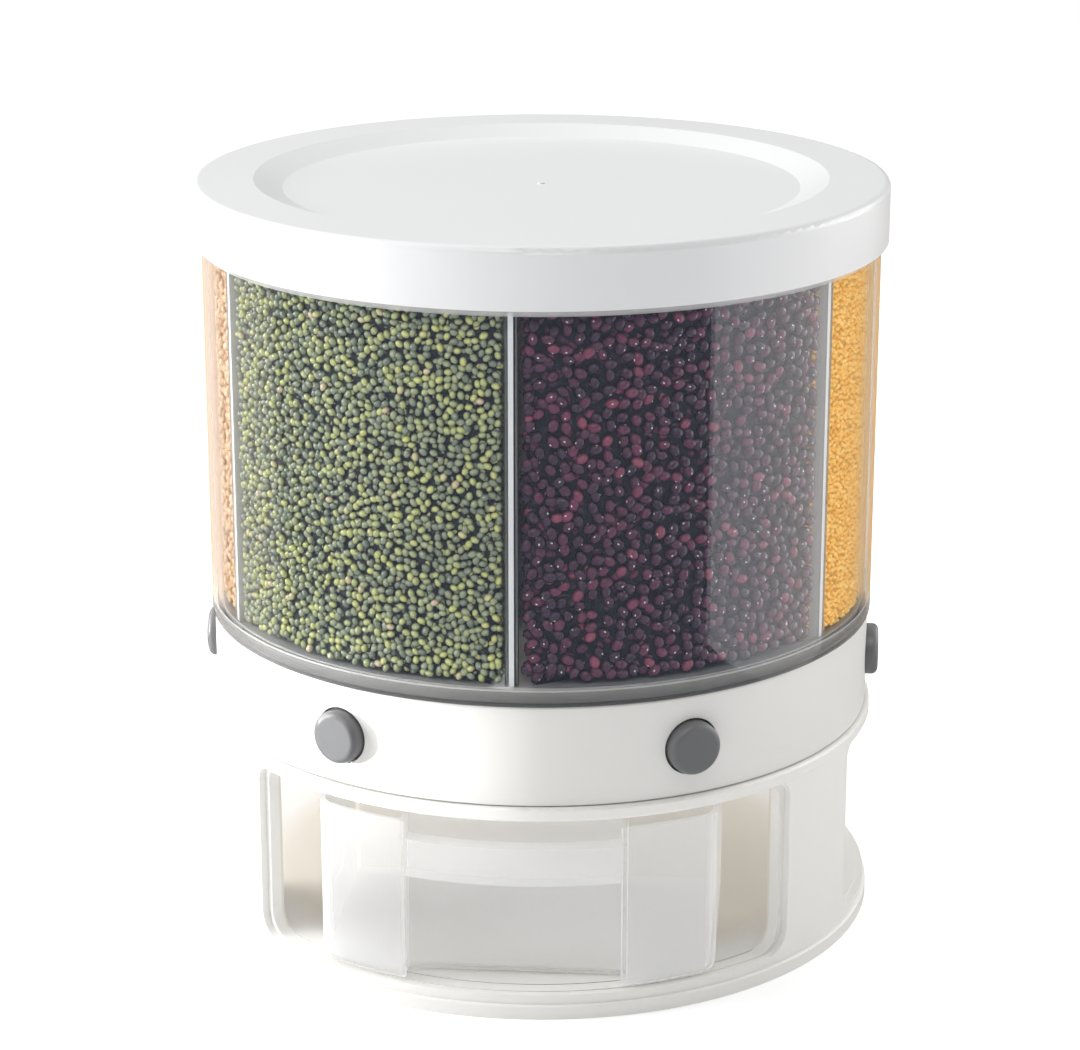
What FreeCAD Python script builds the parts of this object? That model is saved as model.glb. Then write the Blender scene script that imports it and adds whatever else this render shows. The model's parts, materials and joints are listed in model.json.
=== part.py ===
import FreeCAD, Part
import math
import os
import re

import Sketcher

# A round food storage box that turns on its stand. A clear hopper with compartments stands
# in a ring of push buttons. Each button slides a gate under one compartment, and the food
# falls through the ring into a measuring cup that stands in the open base below.
# Millimetres. The origin is the middle of the foot, +Z is up, and -Y is the front.

# Every independent size of the box, each written once.
SIZES = {
    # lid
    "lid_radius": 140.0,
    "lid_drop": 23.6,
    "lid_wall": 2.2,
    "lid_round": 2.6,
    "lid_rim_width": 24.4,
    "lid_ramp_width": 11.6,
    "lid_dish_depth": 4.0,
    "gate_mark_radius": 1.5,
    "gate_mark_height": 0.4,
    "lid_side_gap": 0.8,
    "lid_plug_depth": 9.0,
    "lid_plug_wall": 2.0,
    "lid_seal_height": 4.2,
    # clear hopper
    "hopper_wall": 2.5,
    "hopper_depth": 163.8,
    "hopper_skirt": 7.3,
    "hopper_floor": 2.4,
    "spigot_wall": 1.7,
    "divider_drop": 10.5,
    "vane_thickness": 2.0,
    "hub_radius": 7.0,
    "channel_wall": 1.2,
    "channel_depth": 4.0,
    "pit_inner": 36.0,
    "pit_inner_half": 16.5,
    "pit_corner_angle": 26.95,
    "pit_rim_inset": 0.3,
    "funnel_wall": 2.0,
    "outlet_start": 72.0,
    "outlet_length": 12.0,
    "outlet_half_width": 18.0,
    "outlet_seal_height": 2.0,
    "outlet_seal_margin": 2.5,
    # food in the compartments
    "fill_headroom": 14.0,
    "fill_side_gap": 0.3,
    # ring of buttons
    "ring_inset": 1.0,
    "ring_wall": 3.0,
    "ring_height": 40.2,
    "ring_lip_round": 1.0,
    "deck_rise": 12.0,
    "deck_thickness": 2.5,
    "deck_hole_radius": 44.0,
    "deck_ledge_depth": 3.0,
    "deck_ledge_height": 2.0,
    "deck_ledge_half": 12.0,
    "drop_margin": 1.0,
    "rail_wall": 2.0,
    "rail_height": 3.7,
    "boss_radius": 4.2,
    "boss_circle": 106.5,
    "spring_seat_height": 14.5,
    "spring_seat_half": 9.0,
    "spring_seat_wall": 2.0,
    # buttons
    "button_rise": 19.5,
    "button_radius": 10.6,
    "button_gap": 0.8,
    "button_proud": 5.0,
    "button_travel": 12.0,
    "button_round": 2.6,
    "button_flange": 1.5,
    "button_flange_length": 2.3,
    "button_face": 2.5,
    "button_side": 2.2,
    "stem_radius": 2.5,
    "stem_tip_radius": 1.6,
    "spring_radius": 6.0,
    "spring_wire": 1.0,
    # gates
    "gate_thickness": 2.8,
    "gate_half_width": 22.0,
    "gate_overlap": 1.5,
    "gate_inner_margin": 8.0,
    "clamp_length": 4.0,
    "clamp_half_width": 6.0,
    "clamp_height": 9.0,
    # base
    "base_step": 1.5,
    "base_wall": 2.7,
    "collar_proud": 0.5,
    "collar_rise": 3.3,
    "collar_round": 1.0,
    "turn_gap": 0.5,
    "foot_proud": 1.3,
    "foot_height": 5.8,
    "foot_round": 0.9,
    "sill_height": 10.2,
    "sill_thickness": 2.0,
    "window_height": 72.0,
    "window_half_angle": 49.3,
    "window_top_round": 6.0,
    "window_bottom_round": 10.0,
    "reveal_depth": 8.5,
    "reveal_step_depth": 3.0,
    "reveal_step_angle": 1.2,
    "reveal_step_rise": 0.4,
    "reveal_wall_angle": 1.2,
    "bearing_bore": 112.0,
    "bearing_flange": 2.5,
    "floor_plate": 2.2,
    "floor_lift": 0.2,
    "snap_bead": 0.9,
    "floor_rib_radius": 62.0,
    "floor_rib_wall": 2.0,
    "floor_rib_lift": 0.4,
    # bearing between base and ring
    "glide_height": 2.0,
    "glide_width": 5.4,
    "glide_rib_offset": 1.0,
    "glide_rib_wall": 3.0,
    "spigot_ring_wall": 2.4,
    "retainer_width": 15.0,
    "retainer_thickness": 2.4,
    "retainer_lap": 4.0,
    "screw_radius": 1.7,
    "screw_head_radius": 3.3,
    "screw_length": 12.0,
    # measuring cup
    "cup_half_width": 78.0,
    "cup_front_inset": 0.5,
    "cup_back": 25.0,
    "cup_wall": 2.0,
    "cup_floor": 2.4,
    "cup_top_gap": 4.1,
    "cup_corner_round": 9.0,
    "cup_foot_round": 3.5,
    "recess_half_width": 42.0,
    "recess_back": 120.0,
    "bar_top_drop": 7.2,
    "bar_height": 15.3,
    "bar_depth": 7.0,
    "bar_end_lap": 5.0,
    "bar_proud": 0.5,
    # clearances that several fits share
    "fit_gap": 0.3,
    "slide_gap": 0.2,
    "pin_gap": 0.05,
}

COMPARTMENTS = 6
WINDOWS = 3
SPRING_TURNS = 6
STATION_STEP = 360 / COMPARTMENTS
HALF_STEP = STATION_STEP / 2

# Sizes that follow from the ones above, as formulas of them.
DERIVED = {
    "hopper_radius": "lid_radius - lid_wall - lid_side_gap",
    "hopper_inner": "hopper_radius - hopper_wall",
    "ring_radius": "hopper_radius - ring_inset",
    "ring_inner": "ring_radius - ring_wall",
    "wall_radius": "ring_radius + base_step",
    "wall_inner": "wall_radius - base_wall",
    "reveal_inner": "wall_radius - reveal_depth",
    "collar_radius": "wall_radius + collar_proud",
    "collar_start": "window_top + 2 * reveal_step_rise",
    "foot_radius": "wall_radius + foot_proud",
    "window_top": "sill_height + window_height",
    "bearing_top": "window_top + bearing_flange",
    "collar_top": "bearing_top + collar_rise",
    "ring_bottom": "collar_top + turn_gap",
    "ring_top": "ring_bottom + ring_height",
    "floor_line": "ring_top + hopper_skirt",
    "floor_under": "floor_line - hopper_floor",
    "hopper_top": "floor_line + hopper_depth",
    "divider_top": "hopper_top - divider_drop",
    "lid_under": "hopper_top + fit_gap + lid_seal_height",
    "lid_top": "lid_under + lid_wall",
    "skirt_bottom": "lid_top - lid_drop",
    "deck_top": "ring_bottom + deck_rise",
    "deck_under": "deck_top - deck_thickness",
    "gate_under": "deck_top + slide_gap",
    "gate_top": "gate_under + gate_thickness",
    "spout_bottom": "gate_top + slide_gap + outlet_seal_height",
    "spigot_outer": "ring_inner - fit_gap",
    "pit_outer": "(spigot_outer - pit_rim_inset) * cos(pit_corner_angle)",
    "pit_outer_half": "(spigot_outer - pit_rim_inset) * sin(pit_corner_angle)",
    "outlet_end": "outlet_start + outlet_length",
    "button_height": "ring_bottom + button_rise",
    "button_hole": "button_radius + button_gap",
    "flange_radius": "button_hole + button_flange",
    "flange_front": "sqrt(ring_inner ^ 2 - flange_radius ^ 2) - fit_gap",
    "flange_back": "flange_front - button_flange_length",
    "button_front": "ring_radius + button_proud",
    "seat_front": "flange_back - button_travel - 4 * fit_gap",
    "seat_back": "seat_front - spring_seat_wall",
    "clamp_front": "seat_back - fit_gap",
    "clamp_back": "clamp_front - clamp_length",
    "slot_start": "outlet_end + gate_overlap",
    "glide_rib_inner": "bearing_bore + glide_rib_offset",
    "glide_rib_bottom": "bearing_top + glide_height + slide_gap",
    "turning_spigot": "bearing_bore - fit_gap",
    "retainer_top": "window_top - fit_gap",
    "retainer_bottom": "retainer_top - retainer_thickness",
    "retainer_outer": "bearing_bore + retainer_lap",
    "sill_under": "sill_height - sill_thickness",
    "floor_top": "sill_height + floor_lift",
    "floor_bottom": "floor_top - floor_plate",
    "floor_radius": "reveal_inner - fit_gap",
    "rim_radius": "wall_inner - fit_gap",
    "rim_top": "sill_under - pin_gap",
    "rim_bottom": "rim_top - floor_plate",
    "cup_front": "wall_radius - cup_front_inset",
    "cup_bottom": "floor_top + 2 * pin_gap",
    "cup_top": "window_top - cup_top_gap",
    "bar_top": "cup_top - bar_top_drop",
    "bar_bottom": "bar_top - bar_height",
}

ORIGIN = FreeCAD.Vector(0, 0, 0)
UP = FreeCAD.Vector(0, 0, 1)

doc = FreeCAD.newDocument("rotating_food_storage_box")
sheet = doc.addObject("Spreadsheet::Sheet", "sizes")
for row, (name, size) in enumerate(SIZES.items(), start=1):
    sheet.set(f"A{row}", name)
    sheet.set(f"B{row}", str(size))
    sheet.setAlias(f"B{row}", name)
doc.recompute()

pieces = []
# The volume of each body after its latest feature.
volumes = {}


def formula(text):
    """The text with each size's name turned into its cell, and each derived size into its formula."""

    def one_name(match):
        word = match.group(0)
        if word in DERIVED:
            return f"({formula(DERIVED[word])})"
        if word in SIZES:
            return f"sizes.{word}"
        return word

    return re.sub(r"[a-z_]+", one_name, text)


def value(text):
    """The number that a formula gives with the sheet's present sizes."""
    return float(sheet.evalExpression(formula(text)))


def new_body(label, turn=0.0):
    """An empty body whose first station faces the front before the body is turned about +Z."""
    body = doc.addObject("PartDesign::Body", label)
    body.Label = label
    body.Placement = FreeCAD.Placement(ORIGIN, FreeCAD.Rotation(UP, turn))
    pieces.append(body)
    return body


def origin_feature(body, role):
    for feature in body.Origin.OriginFeatures:
        if feature.Role == role:
            return feature
    raise RuntimeError(f"{body.Label} has no {role}")


def new_sketch(body, name, role, lift="0", turn=0.0):
    """A sketch on one of the body's own planes, lifted along the plane's normal and turned in it."""
    sketch = body.newObject("Sketcher::SketchObject", f"{body.Name}_{name}")
    sketch.AttachmentSupport = [(origin_feature(body, role), "")]
    sketch.MapMode = "FlatFace"
    spin = FreeCAD.Rotation(UP, turn)
    sketch.AttachmentOffset = FreeCAD.Placement(FreeCAD.Vector(0, 0, value(lift)), spin)
    if lift != "0":
        sketch.setExpression("AttachmentOffset.Base.z", formula(lift))
    return sketch


def add_outline(sketch, corners, round_edges=()):
    """A closed outline. Each corner is held by two formulas, and an edge in round_edges is an arc
    about the sketch's own origin."""
    spots = [FreeCAD.Vector(value(x), value(y), 0) for x, y in corners]
    ends = []
    for i, start in enumerate(spots):
        stop = spots[(i + 1) % len(spots)]
        if i in round_edges:
            turns_left = start.x * stop.y - start.y * stop.x > 0
            first, last = (start, stop) if turns_left else (stop, start)
            circle = Part.Circle(ORIGIN, UP, start.Length)
            angles = [math.atan2(p.y, p.x) for p in (first, last)]
            if angles[1] < angles[0]:
                angles[1] += 2 * math.pi
            edge = sketch.addGeometry(Part.ArcOfCircle(circle, *angles))
            ends.append((edge, 1, 2) if turns_left else (edge, 2, 1))
        else:
            edge = sketch.addGeometry(Part.LineSegment(start, stop))
            ends.append((edge, 1, 2))
    for i, (edge, start_end, stop_end) in enumerate(ends):
        after = ends[(i + 1) % len(ends)]
        sketch.addConstraint(Sketcher.Constraint("Coincident", edge, stop_end, after[0], after[1]))
        for kind, text, spot in zip(("DistanceX", "DistanceY"), corners[i], (spots[i].x, spots[i].y)):
            held = Sketcher.Constraint(kind, -1, 1, edge, start_end, spot)
            sketch.setExpression(f"Constraints[{sketch.addConstraint(held)}]", formula(text))
        if i in round_edges:
            x, y = corners[i]
            held = Sketcher.Constraint("Radius", edge, spots[i].Length)
            size = formula(f"sqrt(({x}) ^ 2 + ({y}) ^ 2)")
            sketch.setExpression(f"Constraints[{sketch.addConstraint(held)}]", size)


def add_circle(sketch, x, y, radius):
    """A circle whose centre and radius are held by formulas."""
    centre = FreeCAD.Vector(value(x), value(y), 0)
    circle = sketch.addGeometry(Part.Circle(centre, UP, value(radius)))
    for kind, text, spot in (("DistanceX", x, centre.x), ("DistanceY", y, centre.y)):
        held = Sketcher.Constraint(kind, -1, 1, circle, 3, spot)
        sketch.setExpression(f"Constraints[{sketch.addConstraint(held)}]", formula(text))
    held = Sketcher.Constraint("Radius", circle, value(radius))
    sketch.setExpression(f"Constraints[{sketch.addConstraint(held)}]", formula(radius))


def box_corners(x_low, x_high, y_low, y_high):
    return [(x_low, y_low), (x_high, y_low), (x_high, y_high), (x_low, y_high)]


def finish_feature(body, feature, grows):
    """Recomputes, and checks that the feature added material where it should, or took some away."""
    body.Tip = feature
    doc.recompute()
    if "Invalid" in feature.State or "Error" in feature.State or feature.Shape.isNull():
        raise RuntimeError(f"{feature.Name} failed: {feature.State}")
    change = feature.Shape.Volume - volumes.get(body.Name, 0.0)
    volumes[body.Name] = feature.Shape.Volume
    if (change > 0) != grows:
        raise RuntimeError(f"{feature.Name} changed the volume by {change:.1f} mm3")
    return feature


def revolve(body, name, corners, cut=False, axis="V_Axis", role="XZ_Plane", lift="0", sweep="360"):
    """Turns an outline about an axis of its sketch, to add material or to cut it. A part turn is
    centred on the sketch's plane."""
    sketch = new_sketch(body, f"{name}_profile", role, lift)
    add_outline(sketch, corners)
    kind = "PartDesign::Groove" if cut else "PartDesign::Revolution"
    feature = body.newObject(kind, f"{body.Name}_{name}")
    feature.Profile = sketch
    feature.ReferenceAxis = (sketch, [axis])
    feature.Angle = value(sweep)
    if sweep != "360":
        feature.Midplane = True
        feature.setExpression("Angle", formula(sweep))
    return finish_feature(body, feature, not cut)


def extrude(body, name, sketch, length, cut=False, down=False):
    """Pads a sketch upwards along its normal, or pockets it, by a formula's length."""
    kind = "PartDesign::Pocket" if cut else "PartDesign::Pad"
    feature = body.newObject(kind, f"{body.Name}_{name}")
    feature.Profile = sketch
    feature.Length = value(length)
    feature.setExpression("Length", formula(length))
    feature.Reversed = (not down) if cut else down
    return finish_feature(body, feature, not cut)


def slab(body, name, corners, low, high, round_edges=(), cut=False, turn=0.0):
    """An upright block of any outline between two heights, added or cut."""
    sketch = new_sketch(body, f"{name}_outline", "XY_Plane", low, turn)
    add_outline(sketch, corners, round_edges)
    return extrude(body, name, sketch, f"({high}) - ({low})", cut)


def loft(body, name, low_corners, low, high_corners, high, cut=False):
    """A straight-sided hopper shape between two outlines at two heights."""
    kind = "PartDesign::SubtractiveLoft" if cut else "PartDesign::AdditiveLoft"
    top = new_sketch(body, f"{name}_top", "XY_Plane", high)
    add_outline(top, high_corners)
    bottom = new_sketch(body, f"{name}_bottom", "XY_Plane", low)
    add_outline(bottom, low_corners)
    feature = body.newObject(kind, f"{body.Name}_{name}")
    feature.Profile = top
    feature.Sections = [bottom]
    feature.Ruled = True
    return finish_feature(body, feature, not cut)


def pattern(body, feature, count, grows=True):
    """Repeats one feature evenly about +Z."""
    repeat = body.newObject("PartDesign::PolarPattern", f"{feature.Name}_pattern")
    repeat.Originals = [feature]
    repeat.Axis = (origin_feature(body, "Z_Axis"), [""])
    repeat.Angle = 360
    repeat.Occurrences = count
    return finish_feature(body, repeat, grows)


def soften(body, name, size, chosen):
    """Rounds the edges that chosen picks, by a formula's radius."""
    base = body.Tip
    names = [f"Edge{i}" for i, edge in enumerate(base.Shape.Edges, start=1) if chosen(edge)]
    if not names:
        raise RuntimeError(f"{name} found no edge on {body.Label}")
    feature = body.newObject("PartDesign::Fillet", f"{body.Name}_{name}")
    feature.Base = (base, names)
    feature.Radius = value(size)
    feature.setExpression("Radius", formula(size))
    body.Tip = feature
    doc.recompute()
    if "Invalid" in feature.State or feature.Shape.isNull():
        raise RuntimeError(f"{feature.Name} failed: {feature.State}")
    volumes[body.Name] = feature.Shape.Volume
    return feature


NEAR = 0.01


def is_ring(edge, radius, height):
    """Whether an edge is an arc or circle about the upright axis, of this radius at this height."""
    curve = edge.Curve
    if not hasattr(curve, "Radius") or not hasattr(curve, "Center"):
        return False
    centred = math.hypot(curve.Center.x, curve.Center.y) < NEAR
    return centred and abs(curve.Radius - radius) < NEAR and abs(curve.Center.z - height) < NEAR


def is_upright(edge, x=None, y=None):
    """Whether an edge is a straight upright line, at plus or minus x and at y where these are given."""
    if not isinstance(edge.Curve, Part.Line):
        return False
    start, stop = edge.Vertexes[0].Point, edge.Vertexes[-1].Point
    upright = math.hypot(start.x - stop.x, start.y - stop.y) < NEAR
    at_x = x is None or abs(abs(start.x) - x) < NEAR
    at_y = y is None or abs(start.y - y) < NEAR
    return upright and at_x and at_y


def is_spoke(edge, height):
    """Whether an edge is a level straight line that points at the upright axis."""
    if not isinstance(edge.Curve, Part.Line):
        return False
    start, stop = edge.Vertexes[0].Point, edge.Vertexes[-1].Point
    level = abs(start.z - height) < NEAR and abs(stop.z - height) < NEAR
    return level and abs(start.x * stop.y - start.y * stop.x) < 1.0


def outlet_corners(margin="0", grow_out="0"):
    """The outlet's rectangle in plan, grown all round by a margin and outwards by a further length."""
    return box_corners(
        f"-(outlet_half_width + {margin})",
        f"outlet_half_width + {margin}",
        f"-(outlet_end + {margin} + {grow_out})",
        f"-(outlet_start - {margin})",
    )


def pit_corners(gap="0"):
    """The mouth of a compartment's sloping pit in plan, drawn in all round by a gap."""
    return [
        (f"-(pit_outer_half - {gap})", f"-(pit_outer - {gap})"),
        (f"pit_outer_half - {gap}", f"-(pit_outer - {gap})"),
        (f"pit_inner_half - {gap}", f"-(pit_inner + {gap})"),
        (f"-(pit_inner_half - {gap})", f"-(pit_inner + {gap})"),
    ]


def make_base_shell():
    """The stand: an outer wall with three windows, a foot, and a flange that carries the ring."""
    body = new_body("base_shell")
    profile = [
        ("wall_inner", "0"),
        ("foot_radius", "0"),
        ("foot_radius", "foot_height"),
        ("wall_radius", "foot_height"),
        ("wall_radius", "collar_start"),
        ("collar_radius", "collar_start + collar_proud"),
        ("collar_radius", "collar_top"),
        ("wall_inner", "collar_top"),
        ("wall_inner", "bearing_top"),
        ("bearing_bore", "bearing_top"),
        ("bearing_bore", "window_top"),
        ("reveal_inner", "window_top"),
        ("reveal_inner", "sill_under"),
        ("wall_inner", "sill_under"),
        ("wall_inner", "rim_bottom - pin_gap"),
        ("wall_inner - snap_bead", "rim_bottom - pin_gap"),
        ("wall_inner - snap_bead", "rim_bottom - pin_gap - snap_bead / 2"),
        ("wall_inner", "rim_bottom - pin_gap - 2 * snap_bead"),
    ]
    revolve(body, "shell", profile)
    beyond, step_radius = "foot_radius + base_wall", "wall_radius - reveal_step_depth"
    opening = box_corners(f"-({beyond})", "-(reveal_inner - base_wall)", "sill_height", "window_top")
    sweep = "2 * window_half_angle"
    window = revolve(body, "window", opening, cut=True, role="YZ_Plane", sweep=sweep)
    pattern(body, window, WINDOWS, grows=False)
    low, high = value("sill_height"), value("window_top")
    soften(body, "window_top_corners", "window_top_round", lambda edge: is_spoke(edge, high))
    soften(body, "window_bottom_corners", "window_bottom_round", lambda edge: is_spoke(edge, low))
    # A shallow step runs round the outside of each window.
    step_low, step_high = "sill_height - reveal_step_rise", "window_top + reveal_step_rise"
    step = box_corners(f"-({beyond})", f"-({step_radius})", step_low, step_high)
    sweep = "2 * (window_half_angle + reveal_step_angle)"
    reveal = revolve(body, "reveal", step, cut=True, role="YZ_Plane", sweep=sweep)
    pattern(body, reveal, WINDOWS, grows=False)
    low, high = value(step_low), value(step_high)
    soften(body, "step_top_corners", "window_top_round", lambda edge: is_spoke(edge, high))
    soften(body, "step_bottom_corners", "window_bottom_round", lambda edge: is_spoke(edge, low))
    # Each pillar is a channel: the outer wall with a return along both windows.
    hollow = box_corners(
        "reveal_inner - base_wall", step_radius, "sill_height + base_wall", "window_top - base_wall"
    )
    half_turn = f"({180 / WINDOWS} - window_half_angle - reveal_step_angle - reveal_wall_angle)"
    pillar = revolve(body, "pillar", hollow, cut=True, role="YZ_Plane", sweep=f"2 * {half_turn}")
    pattern(body, pillar, WINDOWS, grows=False)
    collar, foot = value("collar_radius"), value("foot_radius")
    collar_top, foot_top = value("collar_top"), value("foot_height")
    soften(body, "collar_edge", "collar_round", lambda edge: is_ring(edge, collar, collar_top))
    soften(body, "foot_edge", "foot_round", lambda edge: is_ring(edge, foot, foot_top))


def make_base_floor():
    """The plate that the cup stands on. Its rim snaps into the foot below the sill."""
    body = new_body("base_floor")
    profile = [
        ("0", "floor_bottom"),
        ("floor_rib_radius", "floor_bottom"),
        ("floor_rib_radius", "floor_rib_lift"),
        ("floor_rib_radius + floor_rib_wall", "floor_rib_lift"),
        ("floor_rib_radius + floor_rib_wall", "floor_bottom"),
        ("floor_radius - floor_plate", "floor_bottom"),
        ("floor_radius - floor_plate", "rim_bottom"),
        ("rim_radius", "rim_bottom"),
        ("rim_radius", "rim_top"),
        ("floor_radius", "rim_top"),
        ("floor_radius", "floor_top"),
        ("0", "floor_top"),
    ]
    revolve(body, "plate", profile)


def make_glide_ring():
    """The slippery washer between the base's flange and the turning ring."""
    body = new_body("glide_ring")
    inner, outer = "bearing_bore + fit_gap", "bearing_bore + fit_gap + glide_width"
    revolve(body, "washer", box_corners(inner, outer, "bearing_top", "bearing_top + glide_height"))


def make_button_ring():
    """The wall of the turning ring, which carries the buttons. Ledges inside it carry the deck."""
    body = new_body("button_ring", HALF_STEP)
    revolve(body, "wall", box_corners("ring_inner", "ring_radius", "ring_bottom", "ring_top"))
    ledge = box_corners(
        "-deck_ledge_half", "deck_ledge_half", "-(ring_inner + ring_wall / 2)",
        "-(ring_inner - deck_ledge_depth)",
    )
    low = "deck_under - deck_ledge_height"
    pattern(body, slab(body, "ledge", ledge, low, "deck_under", turn=HALF_STEP), COMPARTMENTS)
    bore = new_sketch(body, "bore_circle", "XZ_Plane", "flange_front - fit_gap")
    add_circle(bore, "0", "button_height", "button_hole")
    bored = extrude(body, "bore", bore, "ring_radius - flange_front + button_proud", cut=True)
    pattern(body, bored, COMPARTMENTS, grows=False)
    outer, top = value("ring_radius"), value("ring_top")
    soften(body, "lip", "ring_lip_round", lambda edge: is_ring(edge, outer, top))


def make_gate_deck():
    """The deck of the turning ring, which carries the gates and turns in the stand's flange."""
    body = new_body("gate_deck", HALF_STEP)
    profile = [
        ("deck_hole_radius", "deck_under"),
        ("turning_spigot - spigot_ring_wall", "deck_under"),
        ("turning_spigot - spigot_ring_wall", "retainer_top"),
        ("turning_spigot", "retainer_top"),
        ("turning_spigot", "deck_under"),
        ("glide_rib_inner", "deck_under"),
        ("glide_rib_inner", "glide_rib_bottom"),
        ("glide_rib_inner + glide_rib_wall", "glide_rib_bottom"),
        ("glide_rib_inner + glide_rib_wall", "deck_under"),
        ("ring_inner - pin_gap", "deck_under"),
        ("ring_inner - pin_gap", "deck_top"),
        ("deck_hole_radius", "deck_top"),
    ]
    revolve(body, "plate", profile)
    # Bosses for the retaining ring's screws stand under the deck between the stations.
    boss = new_sketch(body, "boss_circle", "XY_Plane", "retainer_top", HALF_STEP)
    add_circle(boss, "0", "-boss_circle", "boss_radius")
    pattern(body, extrude(body, "boss", boss, "deck_under - retainer_top"), COMPARTMENTS)
    pilot = new_sketch(body, "pilot_circle", "XY_Plane", "retainer_top", HALF_STEP)
    add_circle(pilot, "0", "-boss_circle", "screw_radius + pin_gap")
    drilled = extrude(body, "pilot", pilot, "screw_length", cut=True)
    pattern(body, drilled, COMPARTMENTS, grows=False)
    # Food falls through the deck here.
    drop = slab(
        body, "drop", outlet_corners("drop_margin"), "deck_under - fit_gap", "deck_top + fit_gap",
        cut=True,
    )
    pattern(body, drop, COMPARTMENTS, grows=False)
    # Each gate runs between two rails.
    side, rail_high = "gate_half_width + fit_gap", "deck_top + rail_height"
    rails = new_sketch(body, "rails_outline", "XY_Plane", "deck_top")
    start, stop = "-(clamp_front)", "-(slot_start - outlet_length - gate_inner_margin)"
    add_outline(rails, box_corners(side, f"{side} + rail_wall", start, stop))
    add_outline(rails, box_corners(f"-({side} + rail_wall)", f"-({side})", start, stop))
    pattern(body, extrude(body, "rails", rails, f"{rail_high} - deck_top"), COMPARTMENTS)
    # The upright seat that a button's spring pushes against.
    seat_corners = box_corners(
        "-spring_seat_half", "spring_seat_half", "-seat_front", "-seat_back"
    )
    seat = slab(body, "seat", seat_corners, "deck_top", "deck_top + spring_seat_height")
    pattern(body, seat, COMPARTMENTS)
    # The deck is open below each button, so that the cap can be pushed in.
    well_half = "flange_radius + 1.5 * fit_gap"
    well_corners = box_corners(f"-({well_half})", well_half, "-ring_radius", "-seat_front")
    well = slab(
        body, "well", well_corners, "deck_under - fit_gap", "deck_top + fit_gap", cut=True
    )
    pattern(body, well, COMPARTMENTS, grows=False)
    guide = new_sketch(body, "guide_circle", "XZ_Plane", "seat_back - fit_gap")
    add_circle(guide, "0", "button_height", "stem_radius + fit_gap")
    guided = extrude(body, "guide", guide, "spring_seat_wall + 2 * fit_gap", cut=True)
    pattern(body, guided, COMPARTMENTS, grows=False)


def make_retaining_ring():
    """The ring below the base's flange that keeps the turning ring from lifting off."""
    body = new_body("retaining_ring", HALF_STEP)
    inner = "retainer_outer - retainer_width"
    revolve(
        body, "hoop", box_corners(inner, "retainer_outer", "retainer_bottom", "retainer_top")
    )
    hole = new_sketch(body, "hole_circle", "XY_Plane", "retainer_bottom", HALF_STEP)
    add_circle(hole, "0", "-boss_circle", "screw_radius + fit_gap")
    doc.recompute()
    feature = body.newObject("PartDesign::Hole", "countersunk_hole")
    feature.Profile = hole
    feature.Threaded = False
    feature.ThreadType = "None"
    feature.Diameter = value("2 * (screw_radius + fit_gap)")
    feature.setExpression("Diameter", formula("2 * (screw_radius + fit_gap)"))
    feature.DepthType = "ThroughAll"
    feature.HoleCutType = "Countersink"
    feature.HoleCutCustomValues = True
    feature.HoleCutDiameter = value("2 * (screw_head_radius + fit_gap)")
    feature.setExpression("HoleCutDiameter", formula("2 * (screw_head_radius + fit_gap)"))
    feature.HoleCutCountersinkAngle = 90
    feature.Reversed = True
    finish_feature(body, feature, False)
    pattern(body, feature, COMPARTMENTS, grows=False)


def make_retaining_screws():
    """Countersunk screws, flush with the underside of the retaining ring."""
    body = new_body("retaining_screws")
    sketch = new_sketch(body, "screw_profile", "XZ_Plane", "boss_circle")
    head = "screw_head_radius - screw_radius"
    profile = [
        ("0", "retainer_bottom"),
        ("screw_head_radius", "retainer_bottom"),
        ("screw_radius", f"retainer_bottom + {head}"),
        ("screw_radius", "retainer_bottom + screw_length"),
        ("0", "retainer_bottom + screw_length"),
    ]
    add_outline(sketch, profile)
    feature = body.newObject("PartDesign::Revolution", "screw")
    feature.Profile = sketch
    feature.ReferenceAxis = (sketch, ["V_Axis"])
    finish_feature(body, feature, True)
    pattern(body, feature, COMPARTMENTS)


def make_push_button(label, turn):
    """A grey cap on a stem. A flange behind the ring's wall keeps it in."""
    body = new_body(label, turn)
    bore = "button_radius - button_side"
    profile = [
        ("0", "-button_front"),
        ("button_radius", "-button_front"),
        ("button_radius", "-flange_front"),
        ("flange_radius", "-flange_front"),
        ("flange_radius", "-flange_back"),
        (bore, "-flange_back"),
        (bore, "-(button_front - button_face)"),
        ("stem_radius", "-(button_front - button_face)"),
        ("stem_radius", "-(clamp_front + pin_gap)"),
        ("stem_tip_radius", "-(clamp_front + pin_gap)"),
        ("stem_tip_radius", "-clamp_back"),
        ("0", "-clamp_back"),
    ]
    revolve(body, "cap", profile, role="XY_Plane", lift="button_height")
    front, radius = value("button_front"), value("button_radius")

    def face_edge(edge):
        curve = edge.Curve
        is_circle = isinstance(curve, Part.Circle) and abs(curve.Radius - radius) < NEAR
        return is_circle and abs(curve.Center.y + front) < NEAR

    soften(body, "face_edge", "button_round", face_edge)


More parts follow.
